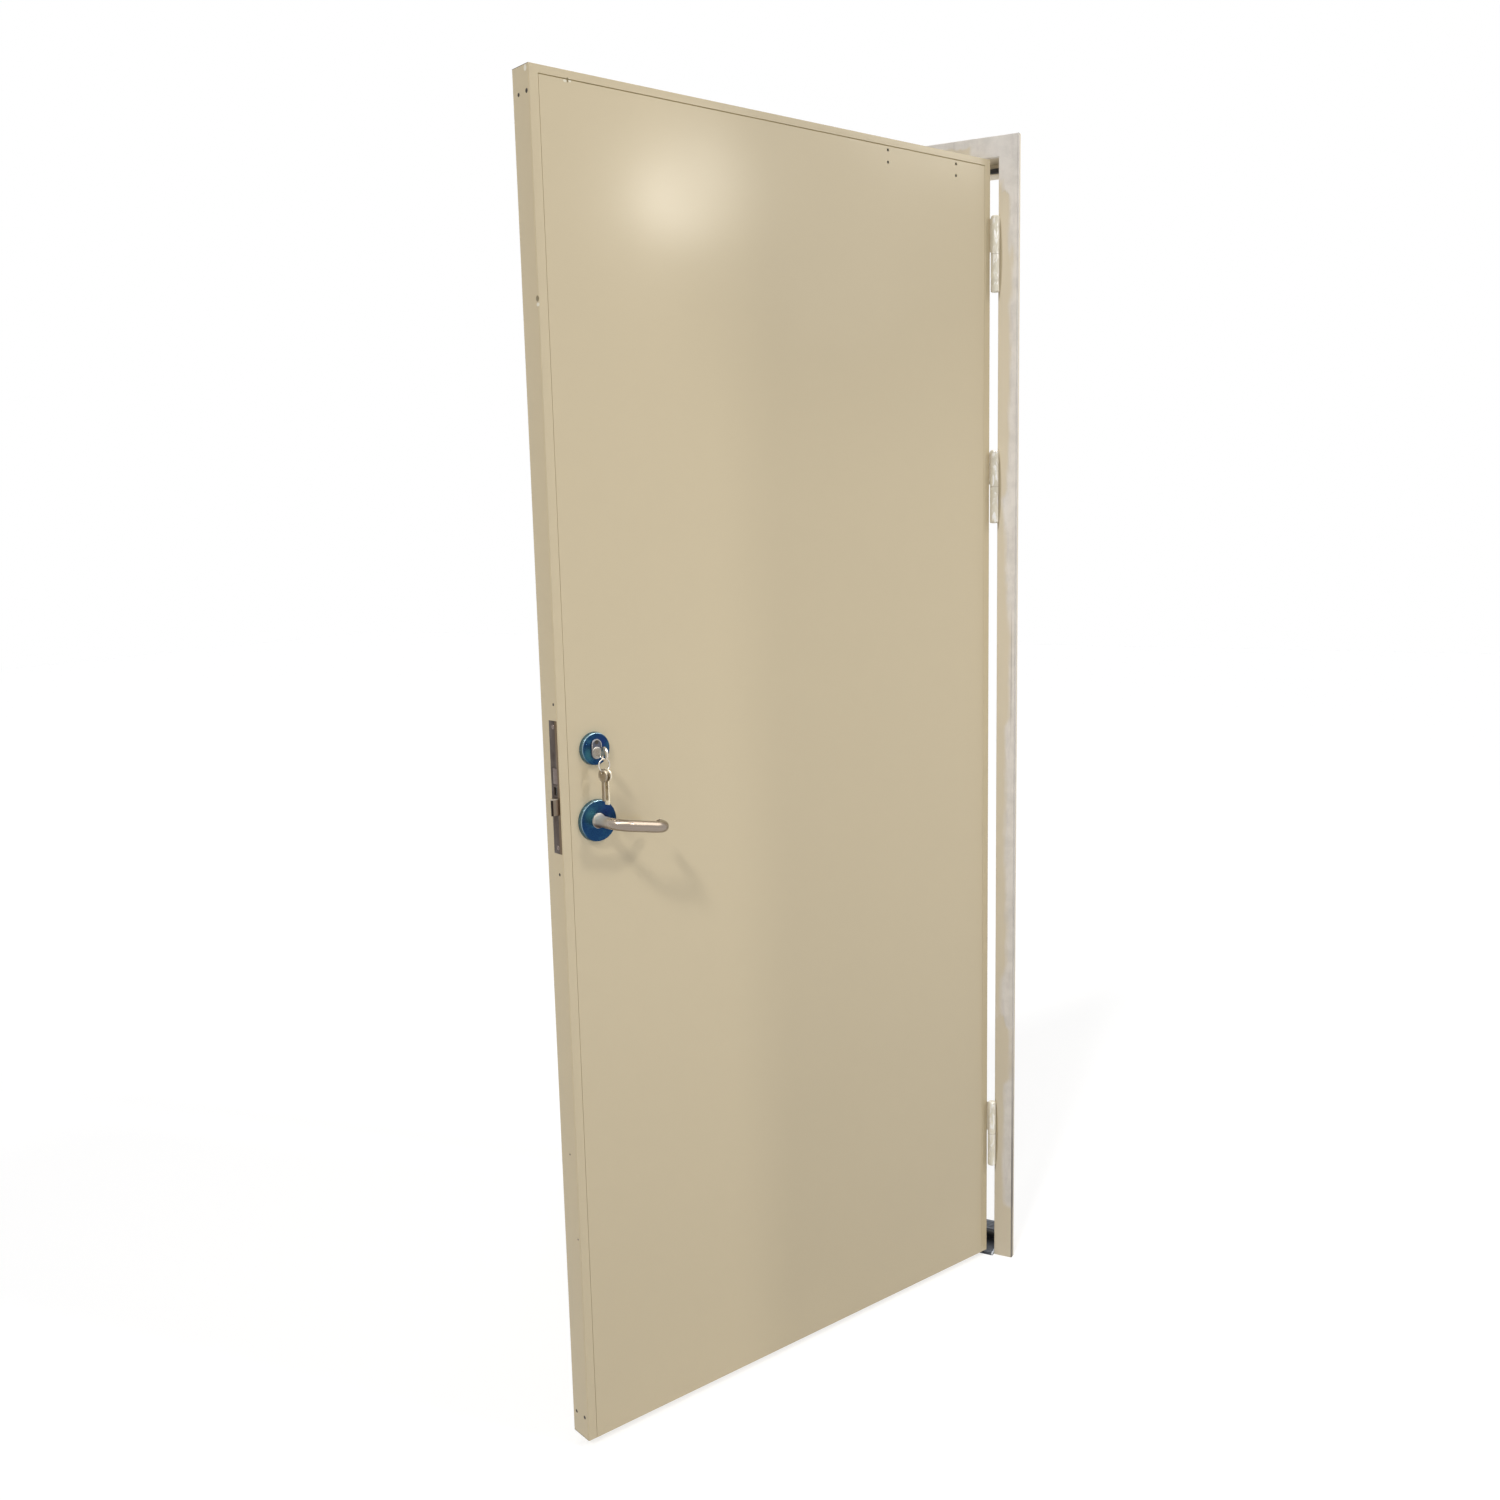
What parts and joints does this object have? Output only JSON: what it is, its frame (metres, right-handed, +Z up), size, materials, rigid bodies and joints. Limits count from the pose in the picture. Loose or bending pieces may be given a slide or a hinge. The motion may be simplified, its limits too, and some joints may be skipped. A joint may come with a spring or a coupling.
{
  "type": "steel utility door",
  "caption": "Outward-opening cream steel door in its frame, hung on lift-off hinges, with lever handles on round roses, an oval lock cylinder and hanging keys.",
  "frame": {"origin": "middle of the threshold's underside, half way across the frame's width and depth", "axes": "+X towards the hinge jamb, -Y towards the side the leaf opens to, +Z up; the leaf is stored open by 67.5 degrees"},
  "size_m": [1.009, 0.9624, 2.09],
  "materials": {
    "frame_paint": "worn cream paint with patches of primer and plaster",
    "leaf_paint": "semi-gloss cream paint",
    "threshold_steel": "dull",
    "seal_rubber": "matt",
    "lock_steel": "dull bronze-grey",
    "plate_steel": "zinc plated",
    "mineral_wool": "fibrous",
    "rose_film": "blue protective film over polished steel",
    "stainless": "fine brushed",
    "cylinder_metal": "satin nickel",
    "key_metal": "worn nickel",
    "key_brass": "worn",
    "ring_steel": "polished wire",
    "hinge_paint": "cream paint worn to bare metal",
    "bolt_steel": "satin"
  },
  "bodies": {
    "frame": {"jamb_hinge_side": "frame_paint", "jamb_lock_side": "frame_paint", "frame_head": "frame_paint", "threshold": "threshold_steel", "seal_hinge_side": "seal_rubber", "seal_lock_side": "seal_rubber", "seal_head": "seal_rubber", "seal_threshold": "seal_rubber", "strike_plate": "lock_steel", "strike_box": "plate_steel", "hinge_lower_top": "hinge_paint", "hinge_pin_top": "bolt_steel", "hinge_lower_middle": "hinge_paint", "hinge_pin_middle": "bolt_steel", "hinge_lower_bottom": "hinge_paint", "hinge_pin_bottom": "bolt_steel"},
    "leaf": {"leaf_tray": "leaf_paint", "leaf_front_sheet": "leaf_paint", "leaf_core": "mineral_wool", "closer_plate": "plate_steel", "lock_case": "plate_steel", "lock_forend": "lock_steel", "rose_lever_outside": "rose_film", "rose_lever_inside": "stainless", "rose_cylinder_outside": "rose_film", "rose_turn_inside": "stainless", "cylinder_body": "cylinder_metal", "hinge_upper_top": "hinge_paint", "hinge_upper_middle": "hinge_paint", "hinge_upper_bottom": "hinge_paint"},
    "levers": {"lever_outside": "stainless", "lever_inside": "stainless", "spindle": "plate_steel"},
    "latch": {"latch_bolt": "bolt_steel"},
    "deadbolt": {"dead_bolt": "bolt_steel"},
    "key_and_plug": {"cylinder_plug": "cylinder_metal", "key": "key_metal"},
    "hanging_keys": {"key_ring": "ring_steel", "spare_key_plain": "key_metal", "spare_key_toothed": "key_brass"},
    "turn": {"thumb_turn": "stainless"}
  },
  "joints": [
    {"name": "leaf_swing", "type": "hinge", "parent": "frame", "child": "leaf", "pos_m": [0.466, -0.055, 1.03], "axis": [0, 0, 1], "range_deg": [-67.5, 102.5]},
    {"name": "handle_turn", "type": "hinge", "parent": "leaf", "child": "levers", "pos_m": [0.10538, -0.8446, 0.998], "axis": [-0.9239, 0.3827, 0], "range_deg": [0, 40], "stiffness_Nm_per_rad": 1.5, "springref_deg": -28.65},
    {"name": "latch_draw", "type": "slide", "parent": "leaf", "child": "latch", "axis": [0.3827, 0.9239, 0], "range_m": [0, 0.011]},
    {"name": "key_turn", "type": "hinge", "parent": "leaf", "child": "key_and_plug", "pos_m": [0.12571, -0.85302, 1.101], "axis": [0.9239, -0.3827, 0], "range_deg": [0, 90]},
    {"name": "dead_bolt_throw", "type": "slide", "parent": "leaf", "child": "deadbolt", "axis": [-0.3827, -0.9239, 0], "range_m": [0, 0.02]},
    {"name": "turn_inside", "type": "hinge", "parent": "leaf", "child": "turn", "pos_m": [0.08506, -0.83618, 1.106], "axis": [0.9239, -0.3827, 0], "range_deg": [0, 90]},
    {"name": "keys_swing", "type": "hinge", "parent": "key_and_plug", "child": "hanging_keys", "pos_m": [0.15065, -0.86335, 1.0933], "axis": [-0.3827, -0.9239, 0], "range_deg": [-10, 30]}
  ],
  "couplings": [
    {"joint": "latch_draw", "follows": "handle_turn", "m_per_rad": 0.0157},
    {"joint": "dead_bolt_throw", "follows": "key_turn", "m_per_rad": 0.0127},
    {"joint": "turn_inside", "follows": "key_turn", "ratio": 1}
  ]
}
